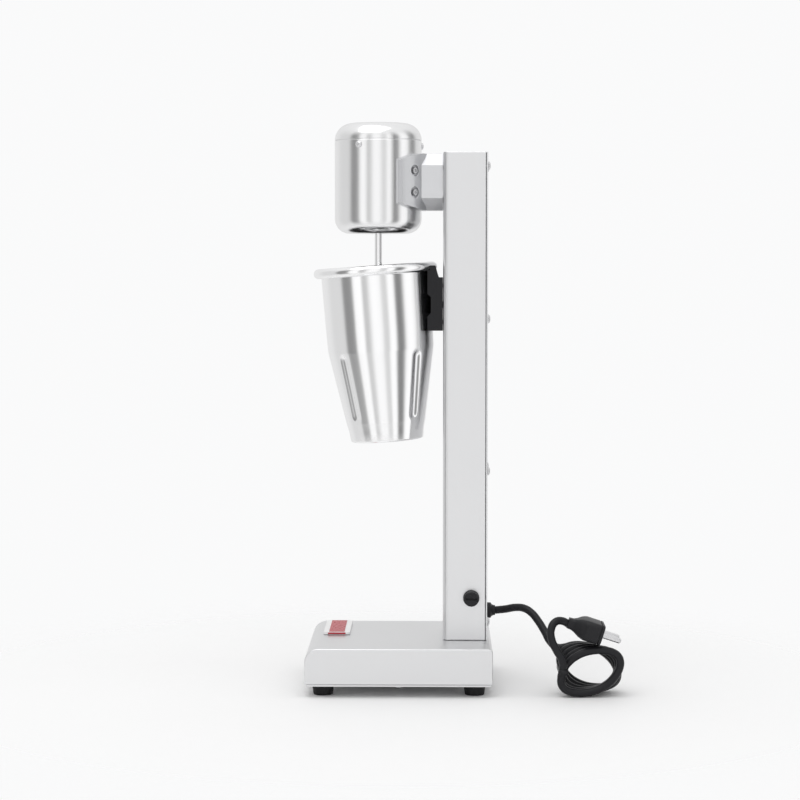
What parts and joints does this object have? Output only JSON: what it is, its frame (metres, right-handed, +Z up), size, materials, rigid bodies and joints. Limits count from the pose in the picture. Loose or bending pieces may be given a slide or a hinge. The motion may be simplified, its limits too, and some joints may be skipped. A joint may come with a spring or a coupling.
{
  "type": "milkshake mixer",
  "caption": "Free-standing spindle drink mixer: steel base and column, motor head on a cast bracket, hooked-on steel cup and mains lead.",
  "frame": {"origin": "on the table under the centre of the base, without the mains lead", "axes": "+Z up along the column, -Y toward the front where the cup hangs, +X toward the side with the fuse holder"},
  "size_m": [0.16, 0.2775, 0.5025],
  "materials": {
    "brushed_steel": "light satin-brushed stainless sheet",
    "satin_steel": "turned and brushed round the axis",
    "polished_steel": "fine polish with drawn marks up the wall",
    "cast_aluminium": "smooth cast, satin silver",
    "black_rubber": "soft matt black",
    "black_plastic": "fine-grained moulded black",
    "screw_steel": "bright zinc or stainless",
    "badge_red": "plain red panel in a white border, bare",
    "iron": "laminated iron",
    "copper": "varnished copper windings"
  },
  "bodies": {
    "frame": {"base_shell": "brushed_steel", "column_shell": "brushed_steel", "column_rear_cover": "brushed_steel", "base_bottom_plate": "brushed_steel", "motor_housing": "satin_steel", "motor_cap": "satin_steel", "motor_bracket": "cast_aluminium", "foot_front_left": "black_rubber", "foot_front_right": "black_rubber", "foot_rear_left": "black_rubber", "foot_rear_right": "black_rubber", "power_cord": "black_rubber", "cord_hank": "black_rubber", "plug": "black_rubber", "foot_screw_front_left": "screw_steel", "foot_screw_front_right": "screw_steel", "foot_screw_rear_left": "screw_steel", "foot_screw_rear_right": "screw_steel", "plate_screw_left": "screw_steel", "plate_screw_right": "screw_steel", "cover_screw_1_left": "screw_steel", "cover_screw_1_right": "screw_steel", "cover_screw_2_left": "screw_steel", "cover_screw_2_right": "screw_steel", "cover_screw_3_left": "screw_steel", "cover_screw_3_right": "screw_steel", "cover_screw_4_left": "screw_steel", "cover_screw_4_right": "screw_steel", "column_screw_left": "screw_steel", "column_screw_right": "screw_steel", "bracket_screw_left_lower": "screw_steel", "bracket_screw_left_upper": "screw_steel", "bracket_screw_right_lower": "screw_steel", "bracket_screw_right_upper": "screw_steel", "bracket_bolt_lower": "screw_steel", "bracket_bolt_upper": "screw_steel", "cap_screw_1": "screw_steel", "cap_screw_2": "screw_steel", "cap_screw_3": "screw_steel", "holder_screw_lower": "screw_steel", "holder_screw_upper": "screw_steel", "bearing_lower": "screw_steel", "bearing_upper": "screw_steel", "cup_holder": "black_plastic", "switch_body": "black_plastic", "fuse_holder": "black_plastic", "cable_gland": "black_plastic", "badge_plate": "badge_red", "stator": "iron", "brush_left": "iron", "brush_right": "iron"},
    "rotor": {"motor_shaft": "screw_steel", "rotor_core": "copper", "commutator": "copper", "cooling_fan": "black_plastic", "spindle": "polished_steel", "agitator": "polished_steel"},
    "cup": {"cup": "polished_steel"},
    "plunger": {"switch_plunger": "black_plastic"},
    "fuse_knob": {"fuse_cap": "black_plastic"}
  },
  "joints": [
    {"name": "spindle_spin", "type": "hinge", "parent": "frame", "child": "rotor", "pos_m": [0, -0.0193, 0.3], "axis": [0, 0, 1], "continuous": true},
    {"name": "cup_lift", "type": "slide", "parent": "frame", "child": "cup", "axis": [0, -0.2588, 0.9659], "range_m": [0, 0.02]},
    {"name": "switch_plunger_travel", "type": "slide", "parent": "frame", "child": "plunger", "axis": [0, -1, 0], "range_m": [0, 0.003]},
    {"name": "fuse_cap_turn", "type": "hinge", "parent": "frame", "child": "fuse_knob", "pos_m": [0.036, 0.0639, 0.081], "axis": [1, 0, 0], "range_deg": [0, 90]}
  ],
  "couplings": [
    {"joint": "switch_plunger_travel", "follows": "cup_lift", "ratio": 0.15}
  ]
}
